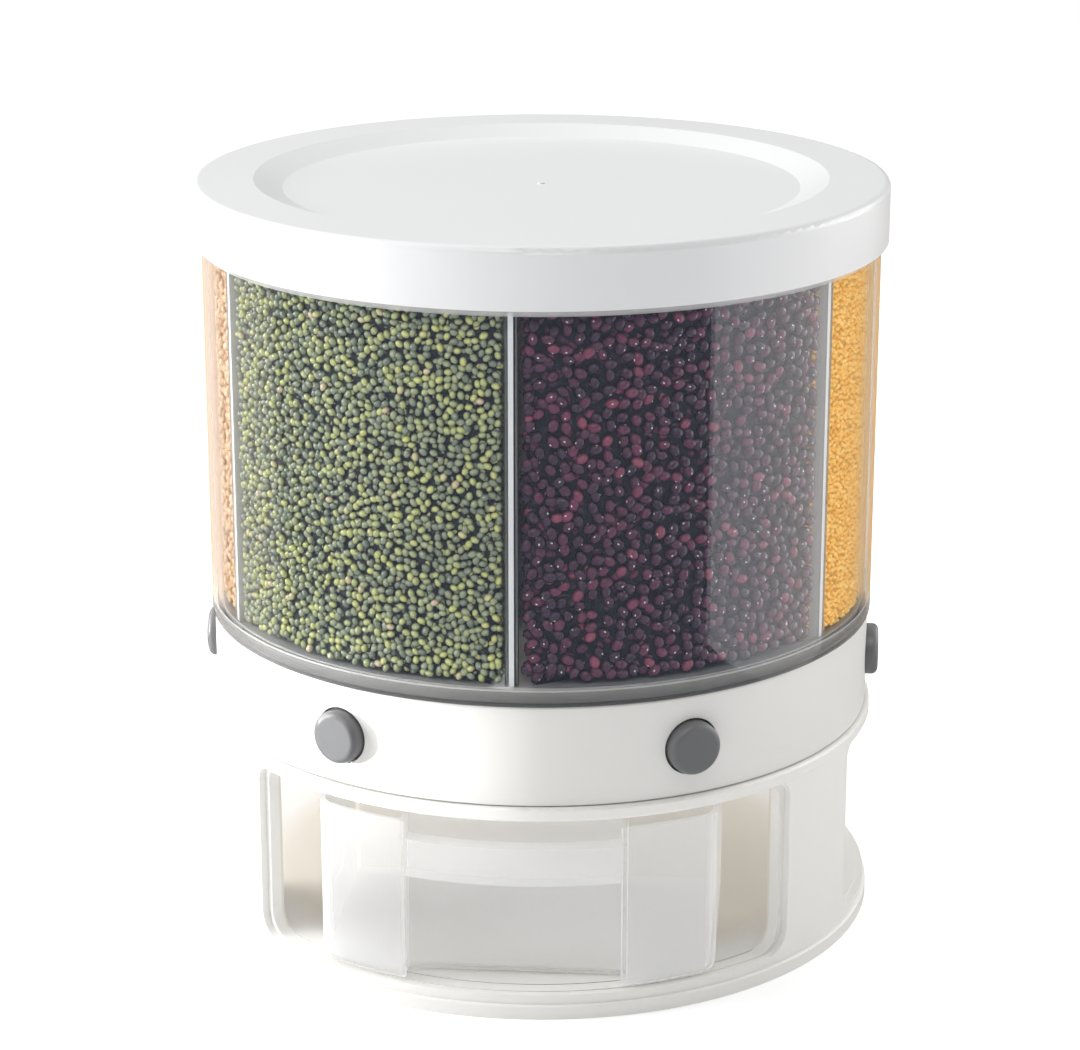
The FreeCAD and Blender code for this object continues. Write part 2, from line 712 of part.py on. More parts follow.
def make_slide_gate(label, turn):
    """A plate with a slot. Pushed in, its slot stands under the outlet and food falls through."""
    body = new_body(label, turn)
    inner_end = "slot_start - outlet_length - gate_inner_margin - button_travel / 2"
    plate = box_corners("-gate_half_width", "gate_half_width", "-clamp_front", f"-({inner_end})")
    slab(body, "plate", plate, "gate_under", "gate_top")
    slot = box_corners(
        "-outlet_half_width", "outlet_half_width", "-(slot_start + outlet_length)", "-slot_start"
    )
    slab(body, "slot", slot, "gate_under - fit_gap", "gate_top + fit_gap", cut=True)
    clamp = box_corners("-clamp_half_width", "clamp_half_width", "-clamp_front", "-clamp_back")
    slab(body, "clamp", clamp, "gate_under", "gate_top + clamp_height")
    hole = new_sketch(body, "tip_circle", "XZ_Plane", "clamp_back - fit_gap")
    add_circle(hole, "0", "button_height", "stem_tip_radius + pin_gap")
    extrude(body, "tip_hole", hole, "clamp_length + 2 * fit_gap", cut=True)


def biarc(start, start_way, stop, stop_way):
    """Two arcs in space that run from start to stop and leave along the two given directions."""
    gap = stop - start
    ways = start_way + stop_way
    straight = 2 * (1 - start_way.dot(stop_way))
    reach = (-gap.dot(ways) + math.sqrt(gap.dot(ways) ** 2 + straight * gap.dot(gap))) / straight
    meet = (start + stop + (start_way - stop_way) * reach) * 0.5
    arcs = []
    for first, way, last in ((start, start_way, meet), (stop, stop_way * -1, meet)):
        chord = last - first
        corner = first + way * reach
        middle = (first + last) * 0.5
        half_turn = way.getAngle(chord)
        rise = (corner - middle).normalize() * (chord.Length / 2 * math.tan(half_turn / 2))
        arcs.append(Part.Arc(first, middle + rise, last))
    return arcs


def make_return_spring(label, turn):
    """An open coil between the ring's spring seat and the inside of the button's face."""
    spring = doc.addObject("Part::Feature", label)
    spring.Label = label
    mean, wire = value("spring_radius"), value("spring_wire")
    height = value("button_height")
    seat = value("seat_front + slide_gap") + wire / 2
    length = value("button_front - button_face - slide_gap") - wire / 2 - seat
    quarters = 4 * SPRING_TURNS
    advance = length / (2 * math.pi * SPRING_TURNS)

    def on_coil(quarter):
        angle = quarter * math.pi / 2
        along = FreeCAD.Vector(0, -(seat + advance * angle), height)
        spot = along + FreeCAD.Vector(mean * math.cos(angle), 0, mean * math.sin(angle))
        way = FreeCAD.Vector(-mean * math.sin(angle), -advance, mean * math.cos(angle))
        return spot, way.normalize()

    edges = []
    for quarter in range(quarters):
        start, start_way = on_coil(quarter)
        stop, stop_way = on_coil(quarter + 1)
        edges.extend(arc.toShape() for arc in biarc(start, start_way, stop, stop_way))
    path = Part.Wire(edges)
    start, start_way = on_coil(0)
    section = Part.Wire(Part.Circle(start, start_way, wire / 2).toShape())
    coil = path.makePipeShell([section], True, False)
    pitch = length / SPRING_TURNS
    print(f"{label}: {pitch - wire:.2f} mm between turns, {coil.Volume:.1f} mm3")
    spring.Shape = coil
    spring.Placement = FreeCAD.Placement(ORIGIN, FreeCAD.Rotation(UP, turn))
    pieces.append(spring)


def make_hopper_barrel():
    """The wall of the clear barrel. A lip at its foot carries the floor."""
    body = new_body("hopper_barrel", HALF_STEP)
    profile = [
        ("spigot_outer + fit_gap", "ring_top + slide_gap"),
        ("hopper_radius", "ring_top + slide_gap"),
        ("hopper_radius", "hopper_top"),
        ("hopper_inner", "hopper_top"),
        ("hopper_inner", "floor_under"),
        ("spigot_outer + fit_gap", "floor_under"),
    ]
    revolve(body, "wall", profile)
    # Two ribs make a channel on the wall for each vane of the divider.
    near = "vane_thickness / 2 + fit_gap"
    depth = ("-(hopper_inner + fit_gap)", "-(hopper_inner - channel_depth)")
    channel = new_sketch(body, "channel_outline", "XY_Plane", "floor_line", HALF_STEP)
    add_outline(channel, box_corners(near, f"{near} + channel_wall", *depth))
    add_outline(channel, box_corners(f"-({near} + channel_wall)", f"-({near})", *depth))
    pattern(body, extrude(body, "channel", channel, "divider_top - floor_line"), COMPARTMENTS)


def make_hopper_floor():
    """The floor of the barrel, with a sloping pit to each outlet. Its spigot sits in the ring."""
    body = new_body("hopper_floor", HALF_STEP)
    spigot_bottom = "button_height + flange_radius + button_flange"
    profile = [
        ("0", "floor_under"),
        ("spigot_outer - spigot_wall", "floor_under"),
        ("spigot_outer - spigot_wall", spigot_bottom),
        ("spigot_outer", spigot_bottom),
        ("spigot_outer", "floor_under"),
        ("hopper_inner - pin_gap", "floor_under"),
        ("hopper_inner - pin_gap", "floor_line"),
        ("0", "floor_line"),
    ]
    revolve(body, "plate", profile)
    outside = loft(
        body, "funnel", outlet_corners("funnel_wall"), "spout_bottom", pit_corners(), "floor_under"
    )
    pattern(body, outside, COMPARTMENTS)
    inside = loft(
        body, "pit", outlet_corners(), "spout_bottom", pit_corners(), "floor_line", cut=True
    )
    pattern(body, inside, COMPARTMENTS, grows=False)
    # A small rib stiffens the spigot below each channel.
    rib = box_corners(
        "-channel_wall", "channel_wall", "-(spigot_outer - spigot_wall / 2)",
        "-(spigot_outer - 2 * channel_depth)",
    )
    below = slab(body, "rib", rib, "floor_under - channel_depth / 2", "floor_under", turn=HALF_STEP)
    pattern(body, below, COMPARTMENTS)


def make_divider():
    """The star of vanes that parts the barrel into compartments."""
    body = new_body("compartment_divider")
    hub = new_sketch(body, "hub_circle", "XY_Plane", "floor_line + slide_gap")
    add_circle(hub, "0", "0", "hub_radius")
    extrude(body, "hub", hub, "divider_top - floor_line - slide_gap")
    blade = box_corners(
        "-vane_thickness / 2", "vane_thickness / 2", "-(hopper_inner - fit_gap)", "-hub_radius / 2"
    )
    pattern(body, slab(body, "vane", blade, "floor_line + slide_gap", "divider_top"), COMPARTMENTS)


def make_outlet_seals():
    """A soft frame under each spout, which wipes the top of its gate."""
    body = new_body("outlet_seals", HALF_STEP)
    low, high = "spout_bottom - outlet_seal_height", "spout_bottom"
    frame = slab(body, "frame", outlet_corners("outlet_seal_margin"), low, high)
    pattern(body, frame, COMPARTMENTS)
    inside = slab(
        body, "opening", outlet_corners(), f"{low} - fit_gap", f"{high} + fit_gap", cut=True
    )
    pattern(body, inside, COMPARTMENTS, grows=False)


def make_fill(label, turn):
    """The food in one compartment, from its level down through the pit to the closed gate."""
    body = new_body(label, turn)
    side = "(vane_thickness / 2 + channel_wall + 2 * fill_side_gap)"
    outer = "(hopper_inner - fill_side_gap)"
    inner = "(hub_radius + 2 * channel_depth)"
    along_out, along_in = f"sqrt({outer} ^ 2 - {side} ^ 2)", f"sqrt({inner} ^ 2 - {side} ^ 2)"
    sine, cosine = f"sin({HALF_STEP})", f"cos({HALF_STEP})"

    def corner(along, sign):
        x = f"{sign}({along} * {sine} - {side} * {cosine})"
        return x, f"-({along} * {cosine} + {side} * {sine})"

    wedge = [corner(along_out, "-"), corner(along_out, ""), corner(along_in, ""), corner(along_in, "-")]
    low = "floor_line + fill_side_gap"
    slab(body, "wedge", wedge, low, "hopper_top - fill_headroom", round_edges=(0,))
    outlet = outlet_corners("(0 - 2 * fill_side_gap)")
    loft(body, "cone", outlet, "spout_bottom", pit_corners("(4 * fill_side_gap)"), low)
    slab(body, "plug", outlet, "gate_top + slide_gap", "spout_bottom")


def make_lid():
    """The flat lid with a shallow dish on top, a deep skirt and a plug inside the barrel."""
    body = new_body("lid")
    ramp_start = "lid_radius - lid_rim_width"
    dish = f"{ramp_start} - lid_ramp_width"
    plug = "hopper_inner - lid_side_gap"
    profile = [
        ("0", "lid_top - lid_dish_depth - lid_wall"),
        (dish, "lid_top - lid_dish_depth - lid_wall"),
        (ramp_start, "lid_under"),
        (f"{plug} - lid_plug_wall", "lid_under"),
        (f"{plug} - lid_plug_wall", "lid_under - lid_plug_depth"),
        (plug, "lid_under - lid_plug_depth"),
        (plug, "lid_under"),
        ("lid_radius - lid_wall", "lid_under"),
        ("lid_radius - lid_wall", "skirt_bottom"),
        ("lid_radius", "skirt_bottom"),
        ("lid_radius", "lid_top"),
        (ramp_start, "lid_top"),
        (dish, "lid_top - lid_dish_depth"),
        ("gate_mark_radius", "lid_top - lid_dish_depth"),
        ("gate_mark_radius", "lid_top - lid_dish_depth + gate_mark_height"),
        ("0", "lid_top - lid_dish_depth + gate_mark_height"),
    ]
    revolve(body, "cover", profile)
    outer, top = value("lid_radius"), value("lid_top")
    soften(body, "edge", "lid_round", lambda edge: is_ring(edge, outer, top))


def make_lid_seal():
    """The soft ring under the lid that closes on the barrel's rim."""
    body = new_body("lid_seal")
    inner, outer = "hopper_inner + fit_gap", "hopper_radius - fit_gap"
    revolve(body, "ring", box_corners(inner, outer, "lid_under - lid_seal_height", "lid_under"))


def cup_corners(inset="0"):
    """The cup's plan: straight sides and back, a front on the base's own round, and a recess."""
    side, mouth = f"(cup_half_width - {inset})", f"(recess_half_width + {inset})"
    front = f"(cup_front - {inset})"
    at_side, at_mouth = f"-sqrt({front} ^ 2 - {side} ^ 2)", f"-sqrt({front} ^ 2 - {mouth} ^ 2)"
    back, recess = f"-(cup_back + {inset})", f"-(recess_back - {inset})"
    return [
        (side, back),
        (f"-{side}", back),
        (f"-{side}", at_side),
        (f"-{mouth}", at_mouth),
        (f"-{mouth}", recess),
        (mouth, recess),
        (mouth, at_mouth),
        (side, at_side),
    ]


def bar_corners(half, inner, outer):
    """A stretch of the handle bar in plan, curved with the front of the cup."""
    at_outer, at_inner = f"-sqrt(({outer}) ^ 2 - ({half}) ^ 2)", f"-sqrt(({inner}) ^ 2 - ({half}) ^ 2)"
    return [(f"-({half})", at_outer), (half, at_outer), (half, at_inner), (f"-({half})", at_inner)]


def make_measuring_cup():
    """The frosted cup that stands in the base. A bar across its front recess is the handle."""
    body = new_body("measuring_cup")
    slab(body, "block", cup_corners(), "cup_bottom", "cup_top", round_edges=(2, 6))
    side, front = value("cup_half_width"), value("cup_front")
    back = -value("cup_back")
    corner_y = -math.sqrt(front ** 2 - side ** 2)

    def outer_corner(edge):
        return is_upright(edge, side, back) or is_upright(edge, side, corner_y)

    soften(body, "corners", "cup_corner_round", outer_corner)
    low = value("cup_bottom")

    def foot_edge(edge):
        return all(abs(vertex.Point.z - low) < NEAR for vertex in edge.Vertexes)

    soften(body, "foot", "cup_foot_round", foot_edge)
    inner = "cup_wall"
    slab(
        body, "hollow", cup_corners(inner), "cup_bottom + cup_floor", "cup_top + fit_gap",
        round_edges=(2, 6), cut=True,
    )
    inner_side, inner_back = value(f"cup_half_width - {inner}"), -value(f"cup_back + {inner}")
    inner_y = -math.sqrt(value(f"cup_front - {inner}") ** 2 - inner_side ** 2)

    def inner_corner(edge):
        return is_upright(edge, inner_side, inner_back) or is_upright(edge, inner_side, inner_y)

    soften(body, "inner_corners", "cup_corner_round - cup_wall", inner_corner)
    core = bar_corners("recess_half_width + cup_wall / 2", "cup_front - bar_depth", "cup_front - fit_gap")
    slab(body, "bar", core, "bar_bottom", "bar_top", round_edges=(0, 2))
    face = bar_corners(
        "recess_half_width + bar_end_lap", "cup_front - cup_wall / 2", "cup_front + bar_proud"
    )
    slab(body, "bar_face", face, "bar_bottom", "bar_top", round_edges=(0, 2))


# Stations are counted from the front left, anticlockwise seen from above.
STATION_TURNS = [-HALF_STEP + STATION_STEP * i for i in range(COMPARTMENTS)]
FILLS = {"mung_bean_fill": 0, "adzuki_bean_fill": 1, "millet_fill": 2, "lentil_fill": 5}

make_base_shell()
make_base_floor()
make_glide_ring()
make_button_ring()
make_gate_deck()
make_retaining_ring()
make_retaining_screws()
for number, station_turn in enumerate(STATION_TURNS, start=1):
    make_push_button(f"push_button_{number}", station_turn)
    make_slide_gate(f"slide_gate_{number}", station_turn)
    make_return_spring(f"return_spring_{number}", station_turn)
make_hopper_barrel()
make_hopper_floor()
make_divider()
make_outlet_seals()
for fill_label, station in FILLS.items():
    make_fill(fill_label, STATION_TURNS[station])
make_lid()
make_lid_seal()
make_measuring_cup()

doc.recompute()
for thing in doc.Objects:
    if "Invalid" in thing.State or "Error" in thing.State:
        raise RuntimeError(f"{thing.Name} is {thing.State}")
for piece in pieces:
    if piece.Shape.isNull() or not piece.Shape.isValid():
        raise RuntimeError(f"{piece.Label} has no valid shape")

os.makedirs("parts", exist_ok=True)
for piece in pieces:
    piece.Shape.exportStep(f"parts/{piece.Label}.step")
    print(f"{piece.Label}: {len(piece.Shape.Solids)} solid(s), {piece.Shape.Volume / 1000:.2f} cm3")
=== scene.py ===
# %% [markdown]
# # A rotating food storage box
# The real object is a clear round canister that turns on a white stand. Six compartments hold dry
# food, six grey buttons let it fall, and a frosted cup in the stand catches it. The rigid parts come
# ready made. This lesson gives each of them its plastic, fills the canister with separate beans and
# grains, and lights the whole as a product photograph.

# %% Load the rigid parts
import json
import math

import bmesh
import bpy
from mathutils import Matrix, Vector


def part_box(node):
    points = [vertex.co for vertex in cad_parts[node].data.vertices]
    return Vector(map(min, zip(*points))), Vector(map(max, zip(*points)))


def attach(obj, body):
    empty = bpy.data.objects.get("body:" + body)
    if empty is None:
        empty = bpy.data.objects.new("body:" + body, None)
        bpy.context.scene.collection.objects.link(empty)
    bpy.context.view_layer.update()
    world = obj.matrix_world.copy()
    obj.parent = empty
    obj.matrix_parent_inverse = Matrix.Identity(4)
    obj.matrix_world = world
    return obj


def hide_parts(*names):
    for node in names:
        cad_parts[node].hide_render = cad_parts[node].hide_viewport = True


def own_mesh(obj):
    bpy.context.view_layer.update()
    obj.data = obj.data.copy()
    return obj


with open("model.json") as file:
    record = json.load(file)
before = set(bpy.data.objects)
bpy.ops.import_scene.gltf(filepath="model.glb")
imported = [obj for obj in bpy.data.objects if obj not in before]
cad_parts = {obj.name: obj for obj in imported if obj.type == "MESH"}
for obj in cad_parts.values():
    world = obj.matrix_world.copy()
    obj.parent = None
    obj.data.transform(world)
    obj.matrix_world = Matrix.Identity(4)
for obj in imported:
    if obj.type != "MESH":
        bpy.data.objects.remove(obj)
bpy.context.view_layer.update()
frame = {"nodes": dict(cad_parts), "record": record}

MM = 0.001

# %% [markdown]
# Shader sums read best when they look like sums. A small class wraps a socket, so that
# `1 - mask * 0.5` adds its own Math nodes. One more method adds any other node.

# %% A socket that does sums
class Wire:
    """One output of a node, which Python's operators can do sums with."""

    def __init__(self, recipe, socket):
        self.recipe = recipe
        self.socket = socket

    def maths(self, operation, other, swapped=False):
        pair = (other, self) if swapped else (self, other)
        return self.recipe.node("ShaderNodeMath", {"operation": operation}, *pair)

    def __add__(self, other):
        return self.maths("ADD", other)

    def __sub__(self, other):
        return self.maths("SUBTRACT", other)

    def __rsub__(self, other):
        return self.maths("SUBTRACT", other, swapped=True)

    def __mul__(self, other):
        return self.maths("MULTIPLY", other)

    def __truediv__(self, other):
        return self.maths("DIVIDE", other)

    def __rtruediv__(self, other):
        return self.maths("DIVIDE", other, swapped=True)

    def __pow__(self, other):
        return self.maths("POWER", other)

    def __gt__(self, other):
        return self.maths("GREATER_THAN", other)

    def __lt__(self, other):
        return self.maths("LESS_THAN", other)

    __radd__ = __add__
    __rmul__ = __mul__


# %% A material recipe
class Recipe:
    """A material and the few calls that write its nodes."""

    def __init__(self, name):
        self.material = bpy.data.materials.new(name)
        self.material.use_nodes = True
        self.tree = self.material.node_tree
        self.plastic = self.tree.nodes["Principled BSDF"]
        self.exit = self.tree.nodes["Material Output"]

    def feed(self, socket, value):
        if isinstance(value, Wire):
            self.tree.links.new(value.socket, socket)
        else:
            socket.default_value = value

    def node(self, kind, settings=None, *values, out=0, **named):
        """Any node: its settings first, then the values or links of its sockets."""
        node = self.tree.nodes.new(kind)
        for key, setting in (settings or {}).items():
            setattr(node, key, setting)
        for socket, value in zip(node.inputs, values):
            self.feed(socket, value)
        for key, value in named.items():
            self.feed(node.inputs[key.replace("_", " ")], value)
        return Wire(self, node.outputs[out])

    def set(self, **named):
        for key, value in named.items():
            self.feed(self.plastic.inputs[key.replace("_", " ")], value)

    def places(self):
        return self.node("ShaderNodeTexCoord", out=3)

    def along(self, axis, vector):
        """One number of a vector, by its axis: 0, 1 or 2."""
        return self.node("ShaderNodeSeparateXYZ", None, vector, out=axis)

    def clamp(self, value):
        """A value kept between 0 and 1."""
        return self.node("ShaderNodeClamp", None, value)

    def facing(self):
        """0 where the eye meets the surface squarely, and 1 where it meets it edge on."""
        return self.node("ShaderNodeLayerWeight", None, 0.5, out=1)

    def noise(self, scale, detail=2.0):
        return self.node("ShaderNodeTexNoise", Vector=self.places(), Scale=scale, Detail=detail)

    def blend(self, share, first, second):
        """A colour between two others."""
        mix = self.tree.nodes.new("ShaderNodeMix")
        mix.data_type = "RGBA"
        self.feed(mix.inputs[0], share)
        self.feed(mix.inputs[6], first)
        self.feed(mix.inputs[7], second)
        return Wire(self, mix.outputs[2])

    def ramp(self, stops, share, interpolation="LINEAR"):
        """A colour that a share from 0 to 1 picks from a row of stops."""
        colour = self.node("ShaderNodeValToRGB", None, share)
        row = colour.socket.node.color_ramp
        row.interpolation = interpolation
        while len(row.elements) < len(stops):
            row.elements.new(0.5)
        for element, (place, paint) in zip(row.elements, stops):
            element.position = place
            element.color = (*paint, 1)
        return colour

    def bump(self, height, strength, distance):
        normal = self.node("ShaderNodeBump", Height=height, Strength=strength, Distance=distance)
        self.set(Normal=normal)


# %% [markdown]
# Moulded white plastic is never one flat colour. Its skin has a fine orange-peel texture, its sheen
# wanders a little, and the colour shifts by a percent or two. Noise at two scales gives all three.

# %% Opaque plastics
def radius_at(recipe):
    """The distance of each place from the upright axis."""
    flat = recipe.node("ShaderNodeVectorMath", {"operation": "MULTIPLY"}, recipe.places(), (1, 1, 0))
    return recipe.node("ShaderNodeVectorMath", {"operation": "LENGTH"}, flat, out=1)


PLASTIC_INDEX = 1.47
CLOUD_SCALE, SHEEN_WANDER = 9.0, 0.12
STAND_INNER, STAND_FLOOR = 130 * MM, 12 * MM
SHADE_EDGE, SHADE_FADE = 122 * MM, 14 * MM


def moulded(name, colour, shade, roughness, grain=1400.0, depth=0.02, inner_shade=None):
    """White or grey plastic. The last argument, when given, is a warmer, darker colour painted inside the
    stand as shade and warm bounced light: on its walls, and on its floor from the shade's edge inwards."""
    recipe = Recipe(name)
    clouds = recipe.noise(CLOUD_SCALE, 3.0)
    skin = recipe.noise(grain)
    paint = recipe.blend(clouds, (*colour, 1), (*shade, 1))
    if inner_shade:
        radius = radius_at(recipe)
        height = recipe.along(2, recipe.places())
        walls = (radius < STAND_INNER) * (height > STAND_FLOOR)
        middle = (SHADE_EDGE - radius) / SHADE_FADE
        # Painted shade with warm bounced light inside the stand: on its walls, and on its floor towards
        # the middle.
        inside = recipe.clamp(walls + recipe.clamp(middle))
        paint = recipe.blend(inside, paint, (*inner_shade, 1))
    recipe.set(Base_Color=paint)
    recipe.set(Roughness=clouds * SHEEN_WANDER + (roughness - SHEEN_WANDER / 2))
    recipe.set(IOR=PLASTIC_INDEX)
    recipe.bump(skin, depth, 0.4 * MM)
    return recipe.material


white_plastic = moulded("white plastic", (0.785, 0.778, 0.755), (0.768, 0.760, 0.733), 0.36)
# The stand is painted darker and warmer inside, as shade and bounced light.
stand_plastic = moulded(
    "stand plastic", (0.86, 0.85, 0.82), (0.84, 0.83, 0.80), 0.36, inner_shade=(0.785, 0.730, 0.650)
)
lid_plastic = moulded("lid plastic", (0.775, 0.778, 0.783), (0.76, 0.763, 0.768), 0.30)
gate_plastic = moulded("gate plastic", (0.78, 0.78, 0.77), (0.75, 0.75, 0.74), 0.40)
glide_plastic = moulded("glide plastic", (0.72, 0.72, 0.69), (0.68, 0.68, 0.65), 0.32)
button_plastic = moulded("button plastic", (0.160, 0.160, 0.163), (0.138, 0.139, 0.142), 0.36, 900.0, 0.05)
silicone = moulded("silicone", (0.62, 0.63, 0.63), (0.58, 0.59, 0.59), 0.55)

# %% Steel for the springs and screws
drawn_wire = Recipe("spring steel")
drawn_wire.set(Base_Color=(0.62, 0.63, 0.64, 1), Metallic=1.0)
drawn_wire.set(Roughness=drawn_wire.noise(700.0) * 0.15 + 0.22)
drawn_wire.bump(drawn_wire.noise(2500.0), 0.08, 0.2 * MM)
steel = drawn_wire.material

# %% [markdown]
# Clear plastic could be true glass, but then the beans behind it would sit in its shadow. A thin wall
# hardly bends light, so a mix does better: it lets light straight through, and a mirror takes over
# towards the edges as Fresnel's law says. A ray that leaves the wall meets the law the other way
# round, so the index is turned over on back faces. Cut edges scatter light, so a share of milky
# plastic, the haze, is mixed in there. Below its floor the barrel gets a share of painted shade, dark
# bands for the dark space seen through its clear foot, and a band just under the lid's edge is a
# painted shadow of the lid. A round wall seen edge on looks through much plastic at the food beside
# it, so each sixth of the barrel is painted with its food's colour there, a painted view of the food.

# %% Clear and frosted plastics
def see_through(name, tint, gloss, roughness, milk, frost=0.5, inner_light=0.0):
    """Clear plastic with a mirror coat. `milk` gives the share and colour of milky plastic in it.
    `inner_light` stands in for the light that scatters inside a frosted wall."""
    recipe = Recipe(name)
    milky_share, colour = milk(recipe)
    recipe.set(Base_Color=colour, Roughness=frost, IOR=PLASTIC_INDEX)
    recipe.set(Emission_Color=colour, Emission_Strength=inner_light)
    clear = recipe.node("ShaderNodeBsdfTransparent", None, (*tint, 1))
    mirror = recipe.node("ShaderNodeBsdfGlossy", None, (1, 1, 1, 1), roughness)
    leaving = recipe.node("ShaderNodeNewGeometry", out=6)
    index = leaving * (1 / gloss - gloss) + gloss
    share = recipe.node("ShaderNodeFresnel", IOR=index)
    coat = recipe.node("ShaderNodeMixShader", None, share, clear, mirror)
    plain = Wire(recipe, recipe.plastic.outputs[0])
    mix = recipe.node("ShaderNodeMixShader", None, milky_share, coat, plain)
    recipe.tree.links.new(mix.socket, recipe.exit.inputs["Surface"])
    return recipe.material


floor_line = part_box("compartment_divider")[0][2]
foot_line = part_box("hopper_barrel")[0][2]
skirt_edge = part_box("lid")[0][2]
shadow_low, shadow_high = skirt_edge - 2.6 * MM, skirt_edge + 1.0 * MM
RIB_RADIUS, VANE_TIP, BELOW_FLOOR = 134.4 * MM, 133.6 * MM, 0.3 * MM
# Shares mixed into the clear plastic, in order: painted shade below the floor, the lid's painted shadow,
# haze on the ribs, the painted view of food at the edges, and haze on the whole wall.
FOOT_SHADE_SHARE, SHADOW_HAZE, RIB_HAZE, EDGE_HAZE, WALL_HAZE = 0.44, 0.42, 0.66, 0.62, 0.004
VANE_HAZE, VANE_TIP_HAZE = 0.05, 0.88
CUP_HAZE, CUP_CLOUDS, CUP_EDGE_HAZE = 0.17, 0.12, 0.5
EDGE_START, EDGE_RISE = 0.76, 7
# Food colours, painted on each sixth of the barrel where the wall is seen edge on.
EMPTY, LENTILS, MUNG_BEANS = (0.3, 0.3, 0.3), (0.74, 0.53, 0.38), (0.20, 0.22, 0.10)
ADZUKI_BEANS, MILLET = (0.07, 0.02, 0.035), (0.86, 0.52, 0.15)
SIXTHS = [EMPTY, LENTILS, MUNG_BEANS, ADZUKI_BEANS, MILLET, EMPTY]
# Painted shade of the dark space behind the clear foot: darkest at the bottom, with a pale painted line at
# the top.
FOOT_SHADE_BANDS = [(0, (0.10, 0.10, 0.10)), (0.24, (0.30, 0.295, 0.285)), (0.66, (0.36, 0.355, 0.34)),
              (0.84, (0.72, 0.715, 0.70))]


def barrel_milk(recipe):
    """Below its floor the barrel carries painted shade, dark bands with a pale painted line at the top,
    for the dark space seen through its clear foot. Just under the lid's edge a band of haze is a painted
    shadow of the lid, and the inner ribs are hazy. Seen edge on, a round wall is painted with the colour
    of the food behind it, a painted view of the food through the plastic."""
    x, y, height = (recipe.along(axis, recipe.places()) for axis in range(3))
    below = height < floor_line - BELOW_FLOOR
    # Painted shadow of the lid: a band of haze just under the lid's edge.
    shaded = (height > shadow_low) * (height < shadow_high)
    rib = (radius_at(recipe) < RIB_RADIUS) * (1 - below)
    angle = recipe.node("ShaderNodeMath", {"operation": "ARCTAN2"}, x, y * -1)
    turn = angle / math.tau + 0.5
    food = recipe.ramp([(number / 6, colour) for number, colour in enumerate(SIXTHS)], turn, "CONSTANT")
    filled = (turn > 1 / 6) * (turn < 5 / 6) * (1 - below)
    # Painted view of the food through the wall, where the wall is seen edge on.
    edge = recipe.clamp((recipe.facing() - EDGE_START) * EDGE_RISE) * filled
    # Painted shade below the barrel's floor, in bands.
    foot = recipe.ramp(FOOT_SHADE_BANDS, (height - foot_line) / (floor_line - foot_line), "CONSTANT")
    haze = below * FOOT_SHADE_SHARE + shaded * SHADOW_HAZE + rib * RIB_HAZE + edge * EDGE_HAZE + WALL_HAZE
    foot_shade_and_rib = recipe.blend(rib, foot, (0.62, 0.63, 0.64, 1))
    return recipe.clamp(haze), recipe.blend(edge, foot_shade_and_rib, food)


def vane_milk(recipe):
    """The vanes are faintly hazy, and white on their cut outer edges."""
    return (radius_at(recipe) > VANE_TIP) * VANE_TIP_HAZE + VANE_HAZE, (0.93, 0.935, 0.94, 1)


def cup_milk(recipe):
    """Frosted plastic, a little uneven, and whiter where the eye meets it edge on."""
    clouds = recipe.noise(14.0, 3.0) * CUP_CLOUDS
    return clouds + recipe.facing() ** 3 * CUP_EDGE_HAZE + CUP_HAZE, (0.95, 0.95, 0.955, 1)


barrel_plastic = see_through("barrel plastic", (0.985, 0.99, 0.99), 1.42, 0.03, barrel_milk)
divider_plastic = see_through("divider plastic", (0.97, 0.975, 0.975), 1.45, 0.06, vane_milk)
cup_plastic = see_through("cup plastic", (0.99, 0.99, 0.985), 1.30, 0.22, cup_milk, 0.36, 0.11)

# %% Give each rigid part its plastic
FINISHES = {
    "lid": lid_plastic, "base_shell": stand_plastic, "base_floor": stand_plastic,
    "button_ring": white_plastic, "gate_deck": white_plastic, "retaining_ring": white_plastic,
    "glide_ring": glide_plastic, "retaining_screws": steel, "return_spring": steel,
    "hopper_barrel": barrel_plastic, "hopper_floor": barrel_plastic,
    "compartment_divider": divider_plastic, "outlet_seals": silicone, "lid_seal": silicone,
    "measuring_cup": cup_plastic, "push_button": button_plastic, "slide_gate": gate_plastic,
}
finished = 0
for node, part in frame["nodes"].items():
    kind = node.rstrip("_123456")
    if kind in FINISHES:
        part.data.materials.clear()
        part.data.materials.append(FINISHES[kind])
        finished += 1
print("finished parts:", finished)

# %% [markdown]
# A pressed button shortens the spring behind it. So a copy stands in for each rigid spring and rides on
# the rotor, with the rigid spring's shape.

# %% Copies of the springs
for joint in frame["record"]["behaviour"]["joints"]:
    for deforming in joint.get("deforming_nodes", []):
        node, inward = deforming["node"], Vector(joint["axis"])
        coil = bpy.data.objects.new(f"coil_{node[-1]}", frame["nodes"][node].data.copy())
        bpy.context.collection.objects.link(coil)
        reach = [vertex.co.dot(inward) for vertex in coil.data.vertices]
        travel, length = joint["range_m"][1], max(reach) - min(reach)
        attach(coil, "rotor")
        1 - travel / length
        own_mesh(coil)
        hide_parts(node)
        print(f"{node}: {length / MM:.1f} mm long, {(length - travel) / MM:.1f} mm when pressed")

# %% [markdown]
# Dry food is thousands of small bodies, and a bump map never looks like them, because each bean has
# its own highlight and its own shadow. Only the outermost beans can be seen, so each fill is a core,
# dark with painted shade for the gaps, with one or two layers of real beans over its walls. Every bean
# carries two attributes: its own coordinates, which place the pale seed scar, and a random tone.

